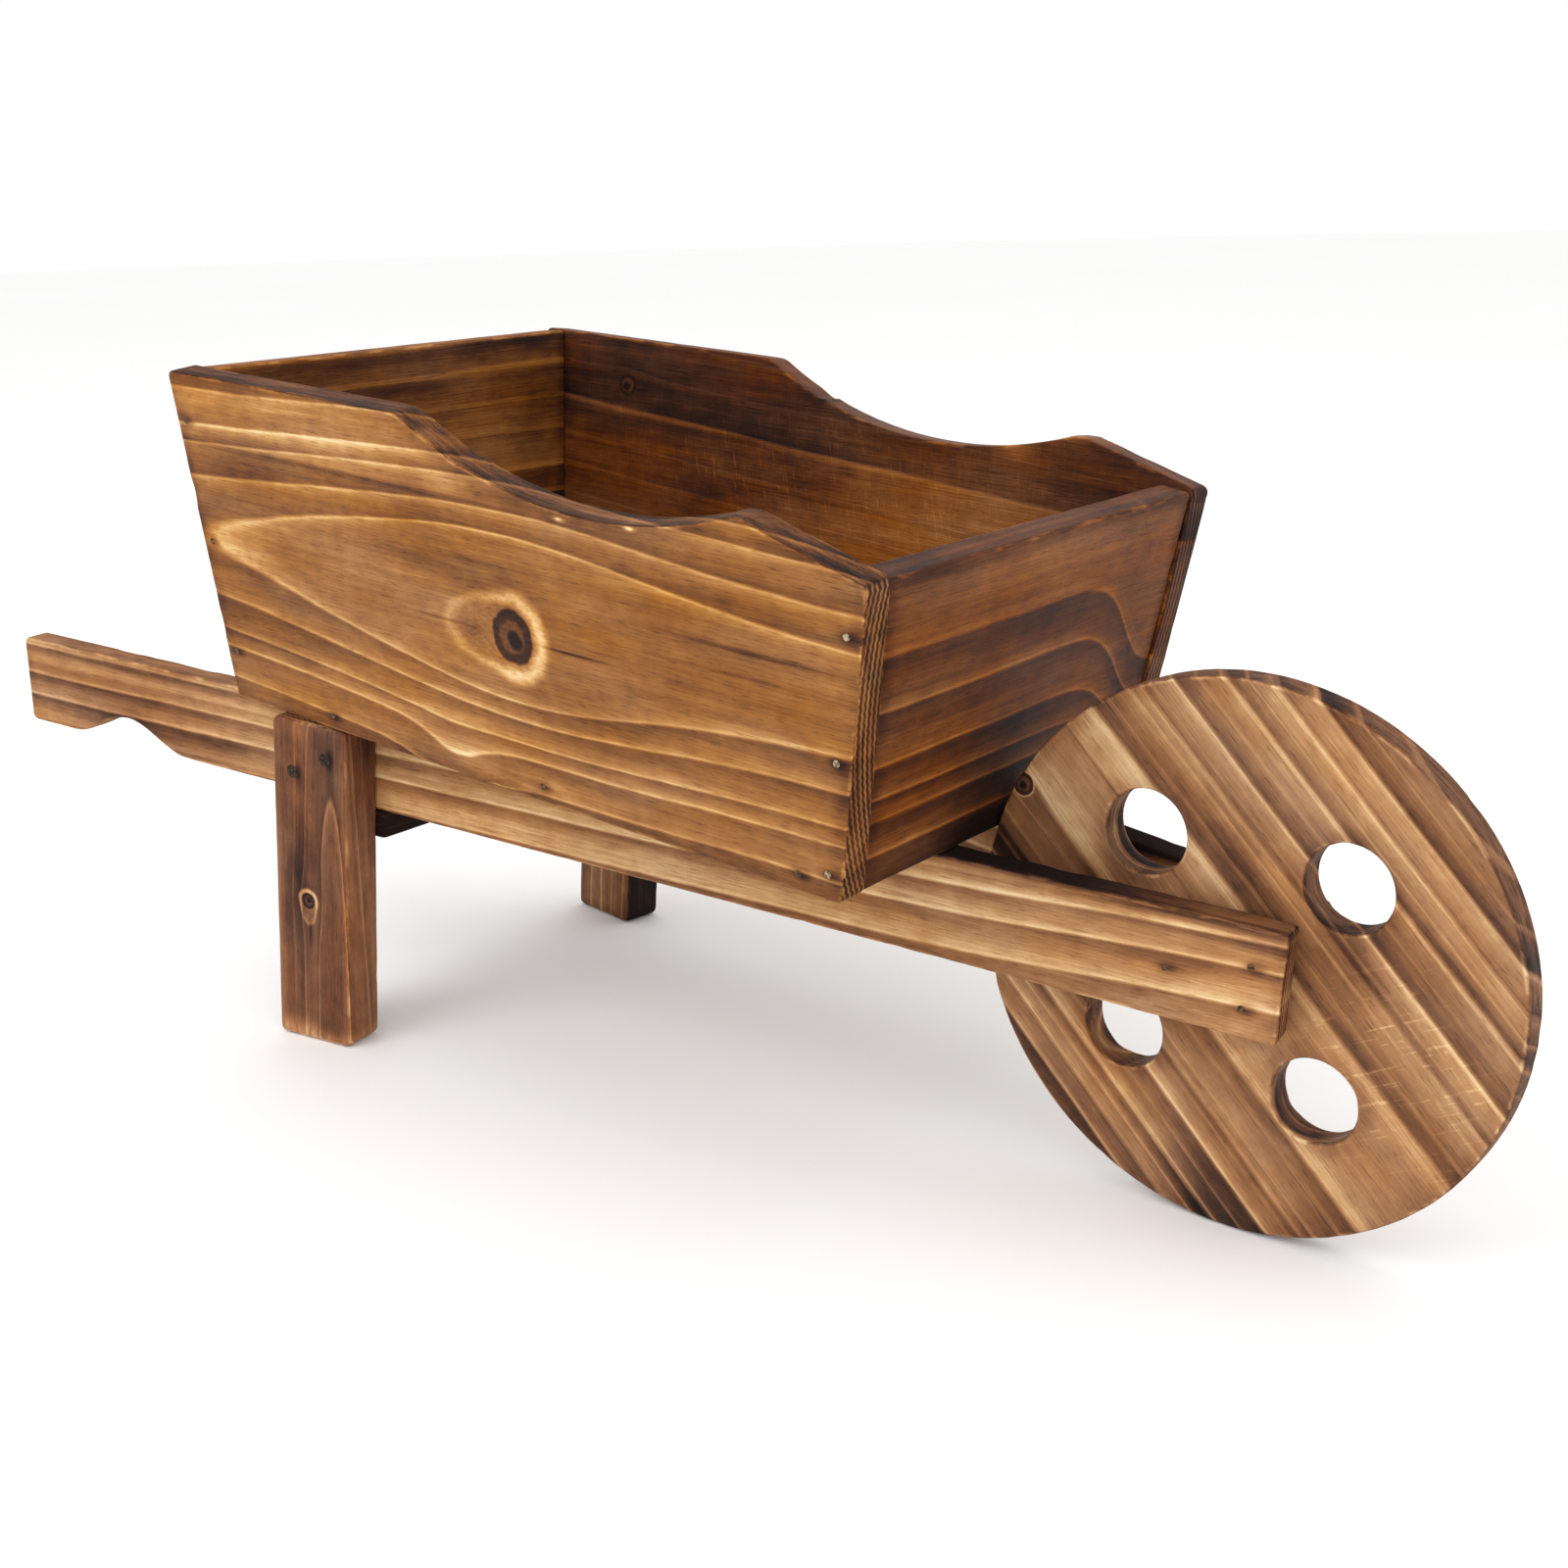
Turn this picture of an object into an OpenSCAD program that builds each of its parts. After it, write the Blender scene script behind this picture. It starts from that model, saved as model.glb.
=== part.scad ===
// Small wooden wheelbarrow planter: a flared tray on two rails that converge on a disc wheel,
// with two raked legs. Every board is a separate piece, nailed or screwed to its neighbours.
//
// The pieces are laid out in a frame that lies along the rails: X runs forward from the
// wheel's axle, Y to the left, and Z up from the top edge of the rails. stand() then tilts the
// whole so that it rests on the wheel and the two legs, with the origin on the ground under
// the middle of its length. The right-hand pieces are drawn, and the left-hand ones mirrored.

/* [Stance] */
// How far the rails rise towards the handles when the barrow stands, in degrees
tilt = 3.95; // [3:0.05:5]

/* [Wheel] */
// Diameter of the wheel
wheel_d = 184; // [176:1:192]
// Thickness of the wheel
wheel_t = 12; // [10:0.5:14]
// Depth of the wheel's centre below the top edge of the rails
wheel_drop = 20.6; // [19:0.1:22]
// Diameter of the four round holes
hole_d = 28; // [20:1:32]
// Distance of the holes' centres from the wheel's centre
hole_pitch = 48.8; // [44:0.1:54]
// Directions of the holes round the wheel, in degrees up from forward
hole_angles = [46, 134, 224, 311];

/* [Axle] */
// Diameter of the dowel that the wheel turns on
axle_d = 34; // [30:1:34]
// Running clearance round the dowel, on the radius
axle_clear = 0.08; // [0.02:0.01:0.1]

/* [Rails] */
// Thickness of a rail
rail_t = 11; // [9:0.5:13]
// Height of a rail
rail_h = 37.5; // [37:0.5:45]
// Length of a rail in front of the axle
rail_front = 23; // [21:1:30]
// Length of a rail behind the axle, to the end of its handle
rail_back = 534; // [520:1:560]
// Angle of each rail from straight ahead, in degrees
toe_in = 8.85; // [8:0.05:9.5]
// Gap between the rails' front corners and the wheel
tip_gap = 0.5; // [0.4:0.1:2]
// Radius of the corners at the handle's end
handle_corner = 3; // [1:0.5:6]
// Depth of the finger notch under the handle
notch_depth = 11.2; // [5:0.1:14]
// Length of the finger notch
notch_len = 68; // [50:1:80]
// Distance of the notch's middle from the handle's end
notch_from_end = 60.5; // [55:0.5:80]

/* [Legs] */
// Width of a leg, seen from the side
leg_w = 38; // [30:1:42]
// Thickness of a leg
leg_t = 18; // [15:0.5:20]
// Distance from the axle back to the front top corner of a leg, along the rail
leg_from_axle = 333; // [310:1:345]
// Backward rake of a leg from square to the rail, in degrees
leg_rake = 2.9; // [0:0.1:5]

/* [Cross brace] */
// Width of the brace, from front to back
brace_w = 38; // [30:1:45]
// Thickness of the brace
brace_t = 12; // [9:0.5:14]
// Distance from the axle back to the front edge of the brace
brace_from_axle = 328.5; // [310:0.5:335]

/* [Tray] */
// Thickness of the tray's boards
board_t = 12; // [9:0.5:14]
// Half of the width over the side boards, at the rails' top edge
tray_half_w = 90.8; // [86:0.1:96]
// Outward lean of a side board, in degrees
side_lean = 5.75; // [3:0.05:9]
// Distance from the axle back to the tray's front bottom corner
tray_front = 89.3; // [86:0.1:95]
// Length of the tray along the bottom
tray_len = 302; // [290:1:315]
// Forward lean of the front board, in degrees
front_lean = 6.85; // [4:0.05:9]
// Backward lean of the back board, in degrees
back_lean = 5.1; // [3:0.05:8]
// Height of the side boards at their front corner
front_h = 103.3; // [98:0.1:108]
// Height of the side boards at their level back part
back_h = 127.7; // [124:0.1:132]
// Height of the peak between the front corner and the dip in the side boards
peak_h = 115.3; // [113:0.1:118]
// Distance of that peak behind the axle
peak_from_axle = 123; // [118:1:128]
// Height of the lowest point of the dip
dip_h = 104.5; // [102:0.1:106]
// Distance of the lowest point of the dip behind the axle
dip_from_axle = 187; // [184:1:190]
// Radius of the dip
dip_r = 180; // [176:1:186]
// Distance behind the axle of the foot of the slope that rises to the level back part
slope_foot = 246.5; // [244:0.5:250]
// Length of that slope, from front to back
slope_len = 27; // [20:1:40]
// How far the front board sits behind the side boards' front edges
front_recess = 1; // [0.5:0.1:2]
// Gap between the two floor boards, which lets water out
floor_gap = 3; // [1:0.5:6]

/* [Fasteners] */
// Diameter of a nail's shank
nail_d = 1.4; // [1:0.1:2]
// Diameter of a nail's head
nail_head_d = 2.4; // [2:0.1:4]
// Thickness of a nail's head
nail_head_t = 0.6; // [0.4:0.1:1]
// Length of the nails in the tray
nail_len = 28; // [20:1:35]
// Length of the short nails that hold the axle, which stop short of the wheel
axle_nail_len = 16; // [14:0.5:17]
// Diameter of a screw's shank
screw_d = 3; // [2:0.1:3.5]
// Diameter of a screw's head
screw_head_d = 5.4; // [4.5:0.1:7]
// Length of the screws in the legs
leg_screw_len = 26; // [22:1:28]
// Length of the screws in the tray's floor
tray_screw_len = 28; // [20:1:30]
// Length of the screws in the brace
brace_screw_len = 22; // [18:1:24]

/* [Hidden] */

right = -1;
left = 1;
// Larger than any piece, for blocks that trim one piece flush with another
big = 700;
curve_steps = 20;
$fn = 64;

// Where the nails and screws go: [along, up] on the face that they are driven into
front_nail_heights = [9, 47, 87.5];
back_nail_heights = [20, 64, 110];
floor_nails_behind_axle = [106, 218, 331];
nail_inset = 6;
axle_nail_spots = [[-14, 0.4], [12.5, 7.5], [11, -7]];
leg_screw_spots = [[-361.5, -21.5], [-344.5, -13.5]];
tray_screws_behind_axle = [120, 240, 360];
brace_screw_inset = 10;

// The outer face of a rail at the axle: its front inner corner just clears the wheel
rail_out = wheel_t / 2 + tip_gap + rail_front * sin(toe_in) + rail_t * cos(toe_in);
// Depth of the ground under the axle's rail-top point, square to the ground
ground = wheel_drop * cos(tilt) + wheel_d / 2;
tray_back = tray_front + tray_len;

// Frontmost and rearmost points of the barrow when it stands, measured along the ground
reach_front = wheel_d / 2 - wheel_drop * sin(tilt);
end_turn = sqrt(pow(cos(toe_in) * cos(tilt), 2) + pow(sin(tilt), 2));
reach_back = (rail_back - handle_corner) * cos(toe_in) * cos(tilt)
    + rail_t * sin(toe_in) * cos(tilt)
    + (rail_h - handle_corner) * sin(tilt)
    + handle_corner * end_turn;

tray_colour = [0.69, 0.49, 0.27];
dark_colour = [0.45, 0.28, 0.17];
rail_colour = [0.74, 0.53, 0.31];
leg_colour = [0.50, 0.34, 0.22];
wheel_colour = [0.66, 0.47, 0.29];
steel_colour = [0.62, 0.60, 0.55];

// Tilts the barrow onto its wheel and legs, and puts the origin under its middle
module stand() {
    translate([(reach_back - reach_front) / 2, 0, ground])
        rotate([0, tilt, 0])
            children();
}

// Places a right-hand piece as it is, or as its mirror image on the left
module on_side(side) {
    stand() {
        if (side == left) {
            mirror([0, 1, 0]) children();
        } else {
            children();
        }
    }
}

// X along the right-hand rail from the axle, Y inwards from its outer face
module along_rail() {
    translate([0, -rail_out, 0])
        rotate([0, 0, toe_in])
            children();
}

// Y inwards and Z upwards along the outer face of the right-hand side board
module on_side_board() {
    translate([0, -tray_half_w, 0])
        rotate([side_lean, 0, 0])
            children();
}

// X forwards and Z upwards along the outer face of the front board
module on_front_board() {
    translate([-tray_front, 0, 0])
        rotate([0, front_lean, 0])
            translate([-front_recess, 0, 0])
                children();
}

// Z upwards along the outer face of the back board
module on_back_board() {
    translate([-tray_back, 0, 0])
        rotate([0, -back_lean, 0])
            children();
}

// Draws a flat outline, given as [along X, up Z], as a board that starts at Y = 0
module upright(thickness) {
    translate([0, thickness, 0])
        rotate([90, 0, 0])
            linear_extrude(thickness)
                children();
}

// Everything under the ground
module below_ground() {
    rotate([0, -tilt, 0])
        translate([-big, -big, -ground - big])
            cube([2 * big, 2 * big, big]);
}

// Everything under the top edge of the rails
module below_tray() {
    translate([-big, -big, -big])
        cube([2 * big, 2 * big, big]);
}

// Everything outside the inner faces of both side boards
module outside_sides() {
    for (turn = [0, 1]) {
        mirror([0, turn, 0])
            on_side_board()
                translate([-big, board_t - big, -big])
                    cube([2 * big, big, 2 * big]);
    }
}

// Everything in front of the inner face of the front board
module beyond_front() {
    on_front_board()
        translate([-board_t, -big, -big])
            cube([big, 2 * big, 2 * big]);
}

// Everything behind the inner face of the back board
module beyond_back() {
    on_back_board()
        translate([board_t - big, -big, -big])
            cube([big, 2 * big, 2 * big]);
}

// Outline of a side board in its own plane, with the dip left to be cut out
module side_outline() {
    rise = 1 / cos(side_lean);
    polygon([
        [-tray_back, -1],
        [-tray_front, -1],
        [-tray_front + front_h * tan(front_lean), front_h * rise],
        [-peak_from_axle, peak_h * rise],
        [-slope_foot, (dip_h + dip_r - sqrt(pow(dip_r, 2) - pow(slope_foot - dip_from_axle, 2))) * rise],
        [-slope_foot - slope_len, back_h * rise],
        [-tray_back - back_h * tan(back_lean), back_h * rise]
    ]);
}

module side_board(side) {
    color(tray_colour)
        on_side(side)
            difference() {
                on_side_board()
                    upright(board_t)
                        difference() {
                            side_outline();
                            translate([-dip_from_axle, (dip_h + dip_r) / cos(side_lean)])
                                circle(dip_r, $fn = 180);
                        }
                below_tray();
            }
}

module front_board() {
    color(dark_colour)
        stand()
            difference() {
                on_front_board()
                    translate([-board_t, -big / 4, 0])
                        cube([board_t, big / 2, front_h / cos(front_lean)]);
                outside_sides();
            }
}

module back_board() {
    color(dark_colour)
        stand()
            difference() {
                on_back_board()
                    translate([0, -big / 4, 0])
                        cube([board_t, big / 2, back_h / cos(back_lean)]);
                outside_sides();
            }
}

module floor_board(side) {
    color(tray_colour)
        on_side(side)
            difference() {
                translate([-tray_back - board_t, -tray_half_w, 0])
                    cube([tray_len + 2 * board_t, tray_half_w - floor_gap / 2, board_t]);
                outside_sides();
                beyond_front();
                beyond_back();
            }
}

// Height of the rail's lower edge, raised by a smooth hump over the finger notch
function lower_edge(s) =
    let (u = (s + rail_back - notch_from_end) / (notch_len / 2))
    abs(u) < 1 ? -rail_h + notch_depth * (1 + cos(180 * u)) / 2 : -rail_h;

// Distance along the rail of the point on its middle line that is x forward of the axle
function on_rail_middle(x) = (x + rail_t / 2 * sin(toe_in)) / cos(toe_in);

// Outline of a rail: the handle's two rounded corners, then along the notch to the front
module rail_outline() {
    corner_steps = [0 : 15 : 90];
    notch_start = -rail_back + notch_from_end - notch_len / 2;
    polygon(concat(
        [for (a = corner_steps)
            [-rail_back + handle_corner - handle_corner * sin(a),
             -handle_corner + handle_corner * cos(a)]],
        [for (a = corner_steps)
            [-rail_back + handle_corner - handle_corner * cos(a),
             -rail_h + handle_corner - handle_corner * sin(a)]],
        [for (i = [0 : curve_steps])
            let (s = notch_start + i * notch_len / curve_steps)
            [s, lower_edge(s)]],
        [[rail_front, -rail_h], [rail_front, 0]]
    ));
}

module rail(side) {
    color(rail_colour)
        on_side(side)
            along_rail()
                upright(rail_t)
                    rail_outline();
}

module leg(side) {
    drop = ground + rail_h;
    sweep = drop * tan(leg_rake);
    color(leg_colour)
        on_side(side)
            difference() {
                along_rail()
                    translate([-leg_from_axle, -leg_t, 0])
                        upright(leg_t)
                            polygon([[-leg_w, 0], [0, 0], [-sweep, -drop], [-leg_w - sweep, -drop]]);
                below_ground();
            }
}

// The brace's ends are cut flush with the outer faces of the rails
module cross_brace() {
    color(dark_colour)
        stand()
            difference() {
                translate([-brace_from_axle - brace_w, -big / 4, -rail_h - brace_t])
                    cube([brace_w, big / 2, brace_t]);
                for (turn = [0, 1]) {
                    mirror([0, turn, 0])
                        along_rail()
                            translate([-big, -big, -big])
                                cube([2 * big, big, 2 * big]);
                }
            }
}

// Puts a shape on the wheel's axis, with that axis along Y
module at_axle() {
    translate([0, 0, -wheel_drop])
        rotate([90, 0, 0])
            children();
}

module wheel() {
    color(wheel_colour)
        stand()
            at_axle()
                difference() {
                    cylinder(h = wheel_t, d = wheel_d, center = true, $fn = 180);
                    cylinder(h = 2 * wheel_t, r = axle_d / 2 + axle_clear, center = true);
                    for (a = hole_angles) {
                        rotate([0, 0, a])
                            translate([hole_pitch, 0, 0])
                                cylinder(h = 2 * wheel_t, d = hole_d, center = true);
                    }
                }
}

// The dowel's ends are mitred to meet the inner faces of the rails
module axle() {
    color(rail_colour)
        stand()
            difference() {
                at_axle()
                    cylinder(h = 3 * rail_out, d = axle_d, center = true);
                for (turn = [0, 1]) {
                    mirror([0, turn, 0])
                        along_rail()
                            translate([-big, rail_t - big, -big])
                                cube([2 * big, big, 2 * big]);
                }
            }
}

// A nail driven along +Y, its head flush with the face at Y = 0
module nail(length) {
    rotate([-90, 0, 0]) {
        cylinder(h = nail_head_t, d = nail_head_d, $fn = 24);
        cylinder(h = length, d = nail_d, $fn = 24);
    }
}

// A countersunk screw driven along +Y, its head flush with the face at Y = 0
module screw(length) {
    head_h = (screw_head_d - screw_d) / 2;
    rotate([-90, 0, 0]) {
        rotate_extrude($fn = 32)
            polygon([
                [0, 0], [screw_head_d / 2, 0], [screw_d / 2, head_h],
                [screw_d / 2, length - screw_d], [0, length]
            ]);
    }
}

module front_nails(side) {
    color(steel_colour)
        on_side(side)
            on_side_board()
                for (z = front_nail_heights) {
                    translate([-tray_front + z * tan(front_lean) - nail_inset, 0, z])
                        nail(nail_len);
                }
}

module back_nails(side) {
    color(steel_colour)
        on_side(side)
            on_side_board()
                for (z = back_nail_heights) {
                    translate([-tray_back - z * tan(back_lean) + nail_inset, 0, z])
                        nail(nail_len);
                }
}

module floor_nails(side) {
    color(steel_colour)
        on_side(side)
            on_side_board()
                for (x = floor_nails_behind_axle) {
                    translate([-x, 0, board_t / 2])
                        nail(nail_len);
                }
}

module axle_nails(side) {
    color(steel_colour)
        on_side(side)
            along_rail()
                for (spot = axle_nail_spots) {
                    translate([spot[0], 0, spot[1] - wheel_drop])
                        nail(axle_nail_len);
                }
}

module leg_screws(side) {
    color(steel_colour)
        on_side(side)
            along_rail()
                for (spot = leg_screw_spots) {
                    translate([spot[0], -leg_t, spot[1]])
                        screw(leg_screw_len);
                }
}

// Driven down through the floor into the middle of the rail's top edge
module tray_screws(side) {
    color(steel_colour)
        on_side(side)
            along_rail()
                for (x = tray_screws_behind_axle) {
                    translate([-x, rail_t / 2, board_t])
                        rotate([-90, 0, 0])
                            screw(tray_screw_len);
                }
}

// Driven up through the brace into the middle of the rail's lower edge
module brace_screws(side) {
    color(steel_colour)
        on_side(side)
            along_rail()
                for (x = [brace_screw_inset, brace_w - brace_screw_inset]) {
                    translate([on_rail_middle(-brace_from_axle - x), rail_t / 2, -rail_h - brace_t])
                        rotate([90, 0, 0])
                            screw(brace_screw_len);
                }
}

side_board(right);  // side_board_right
side_board(left);  // side_board_left
front_board();
back_board();
floor_board(right);  // floor_board_right
floor_board(left);  // floor_board_left
rail(right);  // rail_right
rail(left);  // rail_left
leg(right);  // leg_right
leg(left);  // leg_left
cross_brace();
wheel();
axle();
front_nails(right);  // front_nails_right
front_nails(left);  // front_nails_left
back_nails(right);  // back_nails_right
back_nails(left);  // back_nails_left
floor_nails(right);  // floor_nails_right
floor_nails(left);  // floor_nails_left
axle_nails(right);  // axle_nails_right
axle_nails(left);  // axle_nails_left
leg_screws(right);  // leg_screws_right
leg_screws(left);  // leg_screws_left
tray_screws(right);  // tray_screws_right
tray_screws(left);  // tray_screws_left
brace_screws(right);  // brace_screws_right
brace_screws(left);  // brace_screws_left
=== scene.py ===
"""Looks of the small wooden wheelbarrow planter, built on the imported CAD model.

Each board is rebuilt from its CAD solid with rounded, worn edges, in a frame of its own:
X runs along the grain, Y across it and Z out of the broad face, with the origin in the middle.
Its wood is drawn in that frame, as a slice of a tree with growth rings, knots and torch burns.
"""
import math
from dataclasses import dataclass

import bmesh
import bpy
import numpy as np
from mathutils import Matrix, Vector, noise


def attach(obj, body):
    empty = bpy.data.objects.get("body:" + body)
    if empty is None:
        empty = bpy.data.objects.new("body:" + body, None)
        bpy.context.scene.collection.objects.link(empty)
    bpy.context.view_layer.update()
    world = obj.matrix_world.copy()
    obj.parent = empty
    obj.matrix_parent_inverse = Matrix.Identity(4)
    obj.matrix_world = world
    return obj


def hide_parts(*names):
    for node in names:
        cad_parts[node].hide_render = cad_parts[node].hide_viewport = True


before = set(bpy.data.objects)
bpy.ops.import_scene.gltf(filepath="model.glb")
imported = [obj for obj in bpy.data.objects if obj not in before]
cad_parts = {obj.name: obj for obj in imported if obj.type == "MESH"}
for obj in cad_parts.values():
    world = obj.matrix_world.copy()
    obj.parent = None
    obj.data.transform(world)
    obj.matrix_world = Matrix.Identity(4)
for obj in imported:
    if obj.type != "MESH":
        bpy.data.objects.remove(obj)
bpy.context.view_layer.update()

MM = 0.001

# Camera
EYE = Vector((0.46620, -0.51882, 0.33043))
AZIMUTH = math.radians(39.797)
ELEVATION = math.radians(17.604)
ROLL = math.radians(-1.598)
LENS = 44.02
SENSOR = 36.0

# Scene
FLOOR_RADIUS = 9.0
FLOOR_GAP = 0.2 * MM
LAMP_TARGET = Vector((0, 0, 0.1))
# Lamps: name, place, diameter and power
LAMPS = (
    ("key", (-0.35, -1.5, 1.5), 1.2, 12),
    ("fill", (1.6, -0.7, 0.9), 1.2, 4),
    ("top", (0.1, 0.3, 1.9), 1.5, 6),
)

# Directions
FORWARD = (1, 0, 0)
BACKWARD = (-1, 0, 0)
LEFTWARD = (0, 1, 0)
RIGHTWARD = (0, -1, 0)
UPWARD = (0, 0, 1)
DOWNWARD = (0, 0, -1)
WHEEL_GRAIN = (math.cos(math.radians(46)), 0, -math.sin(math.radians(46)))

# Shaping of the boards
# Points closer than this are one point, and faces flatter than this are one face
SAME_POINT = 0.001 * MM
SAME_FACE = math.radians(0.5)
# Corners of a board's outline are sharper than the first, and its edges than the second
CORNER_ANGLE = math.radians(20)
EDGE_ANGLE = math.radians(40)
# Segments in a rounded edge
ROUND_SEGMENTS = 3
# Spacing of the cuts that divide a board's faces, and their offset from its middle
GRID = 4 * MM
GRID_OFFSET = 0.3 * MM
# Shortest edge that can show which way a board's grain runs
LONG_EDGE = 40 * MM
# Points of fastener heads closer than this, in mm, belong to one head
HEAD_GAP = 6.0
# Points of a fastener closer than this to a board's face lie on it
ON_FACE = 0.05 * MM
# Distance from a sharp edge, in mm, over which it is chipped
CHIP_REACH = 2.2

# Wood
GLOSS = 0.1
# Spacing of the ring lines and of the saw's teeth on sawn ends, in mm
END_RING = 1.15
SAW_TOOTH = 1.5
# Stain round a nail or screw: half length along the grain and half width, in mm, and strength
STAIN_LENGTH = 3.6
STAIN_WIDTH = 1.9
STAIN_STRENGTH = 0.34
# Numbers of a Mix node's colour inputs and output, whose names its other ones share
MIX_FIRST = 6
MIX_SECOND = 7
MIX_RESULT = 2


def colour(red, green, blue):
    """A colour given as it looks on a screen, in 0 to 255, as linear light."""
    parts = []
    for level in (red, green, blue):
        level = level / 255
        parts.append(level / 12.92 if level < 0.04045 else ((level + 0.055) / 1.055) ** 2.4)
    return (*parts, 1.0)


RED_TINT = colour(226, 140, 110)
# The tones of torched wood, from char to the palest grain line
WOOD_TONES = (
    (0.00, colour(30, 20, 16)),
    (0.14, colour(56, 33, 22)),
    (0.28, colour(88, 51, 25)),
    (0.42, colour(122, 76, 34)),
    (0.56, colour(152, 100, 45)),
    (0.70, colour(180, 128, 66)),
    (0.84, colour(212, 169, 104)),
    (1.00, colour(240, 212, 158)),
)


class Field:
    """A value that varies over a surface, made by shader nodes. Arithmetic adds Math nodes."""

    def __init__(self, shader, socket):
        self.shader = shader
        self.socket = socket

    def __add__(self, other):
        return self.shader.math("ADD", self, other)

    def __sub__(self, other):
        return self.shader.math("SUBTRACT", self, other)

    def __rsub__(self, other):
        return self.shader.math("SUBTRACT", other, self)

    def __mul__(self, other):
        return self.shader.math("MULTIPLY", self, other)

    def __truediv__(self, other):
        return self.shader.math("DIVIDE", self, other)


class Shader:
    """A procedural material under construction."""

    def __init__(self, name):
        self.material = bpy.data.materials.new(name)
        self.material.use_nodes = True
        self.tree = self.material.node_tree
        self.surface = self.tree.nodes["Principled BSDF"]

    def feed(self, socket, value):
        """Links a field to a socket, or sets the socket to a plain value."""
        if isinstance(value, Field):
            self.tree.links.new(value.socket, socket)
        else:
            socket.default_value = value

    def math(self, operation, *values):
        node = self.tree.nodes.new("ShaderNodeMath")
        node.operation = operation
        for socket, value in zip(node.inputs, values):
            self.feed(socket, value)
        return Field(self, node.outputs[0])

    def split(self, vector):
        node = self.tree.nodes.new("ShaderNodeSeparateXYZ")
        self.feed(node.inputs[0], vector)
        return [Field(self, socket) for socket in node.outputs]

    def join(self, x, y, z):
        node = self.tree.nodes.new("ShaderNodeCombineXYZ")
        for socket, value in zip(node.inputs, (x, y, z)):
            self.feed(socket, value)
        return Field(self, node.outputs[0])

    def place(self):
        """Position in the object's own space, in mm, as three fields."""
        node = self.tree.nodes.new("ShaderNodeTexCoord")
        scale = self.tree.nodes.new("ShaderNodeVectorMath")
        scale.operation = "SCALE"
        scale.inputs["Scale"].default_value = 1 / MM
        self.tree.links.new(node.outputs["Object"], scale.inputs[0])
        return self.split(Field(self, scale.outputs[0]))

    def attribute(self, name, output="Fac"):
        node = self.tree.nodes.new("ShaderNodeAttribute")
        node.attribute_name = name
        return Field(self, node.outputs[output])

    def noise(self, x, y, z, detail=2.0, roughness=0.5):
        """Smooth noise from 0 to 1, centred on 0.5, with features about 1 unit apart."""
        node = self.tree.nodes.new("ShaderNodeTexNoise")
        node.inputs["Scale"].default_value = 1.0
        node.inputs["Detail"].default_value = detail
        node.inputs["Roughness"].default_value = roughness
        self.feed(node.inputs["Vector"], self.join(x, y, z))
        return Field(self, node.outputs["Fac"])

    def chance(self, value):
        """A random number from 0 to 1 for each whole value."""
        node = self.tree.nodes.new("ShaderNodeTexWhiteNoise")
        node.noise_dimensions = "1D"
        self.feed(node.inputs["W"], value)
        return Field(self, node.outputs["Value"])

    def rise(self, value, low, high):
        """0 below low, 1 above high, and smooth between."""
        node = self.tree.nodes.new("ShaderNodeMapRange")
        node.interpolation_type = "SMOOTHSTEP"
        self.feed(node.inputs["Value"], value)
        self.feed(node.inputs["From Min"], low)
        self.feed(node.inputs["From Max"], high)
        return Field(self, node.outputs["Result"])

    def ramp(self, value, stops):
        node = self.tree.nodes.new("ShaderNodeValToRGB")
        elements = node.color_ramp.elements
        while len(elements) < len(stops):
            elements.new(1.0)
        for element, (position, shade) in zip(elements, stops):
            element.position = position
            element.color = shade
        self.feed(node.inputs[0], value)
        return Field(self, node.outputs[0])

    def mix(self, share, first, second, blend="MIX"):
        node = self.tree.nodes.new("ShaderNodeMix")
        node.data_type = "RGBA"
        node.blend_type = blend
        self.feed(node.inputs["Factor"], share)
        self.feed(node.inputs[MIX_FIRST], first)
        self.feed(node.inputs[MIX_SECOND], second)
        return Field(self, node.outputs[MIX_RESULT])

    def saturate(self, base, share):
        """Keeps a share of a colour's saturation."""
        node = self.tree.nodes.new("ShaderNodeHueSaturation")
        self.feed(node.inputs["Saturation"], share)
        self.feed(node.inputs["Color"], base)
        return Field(self, node.outputs[0])

    def bump(self, height, depth):
        """Bumps the surface: a height of 1 stands depth proud."""
        node = self.tree.nodes.new("ShaderNodeBump")
        node.inputs["Distance"].default_value = depth
        self.feed(node.inputs["Height"], height)
        self.tree.links.new(node.outputs[0], self.surface.inputs["Normal"])


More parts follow.
